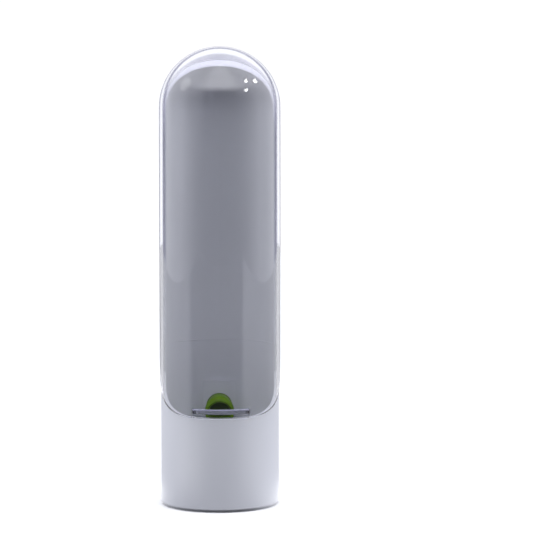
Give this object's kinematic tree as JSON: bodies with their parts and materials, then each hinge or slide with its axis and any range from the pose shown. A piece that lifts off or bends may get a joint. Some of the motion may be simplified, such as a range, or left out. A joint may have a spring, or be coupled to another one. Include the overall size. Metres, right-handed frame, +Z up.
{
  "type": "herb keeper",
  "caption": "Upright round-topped herb keeper: white water cup with a half-tube back, clear lift-off front cover with a dome, soft filling stopper low in the back.",
  "frame": {"origin": "on the axis of the round cup, at the face that it stands on", "axes": "+Z up along the cup's axis; the front, where the clear cover is, faces -Y; +X to the right as seen from the front"},
  "size_m": [0.065, 0.0642, 0.245],
  "materials": {
    "white_plastic": "satin moulded white",
    "clear_plastic": "polished, water clear",
    "green_silicone": "soft satin"
  },
  "bodies": {
    "base": {"body": "white_plastic", "base_cap": "white_plastic"},
    "cover": {"front_cover": "clear_plastic"},
    "stopper": {"fill_plug": "green_silicone"}
  },
  "joints": [
    {"name": "cover_lift", "type": "slide", "parent": "base", "child": "cover", "axis": [0, 0, 1], "range_m": [0, 0.2]},
    {"name": "stopper_pull", "type": "slide", "parent": "base", "child": "stopper", "axis": [0, 1, 0], "range_m": [0, 0.03]}
  ]
}
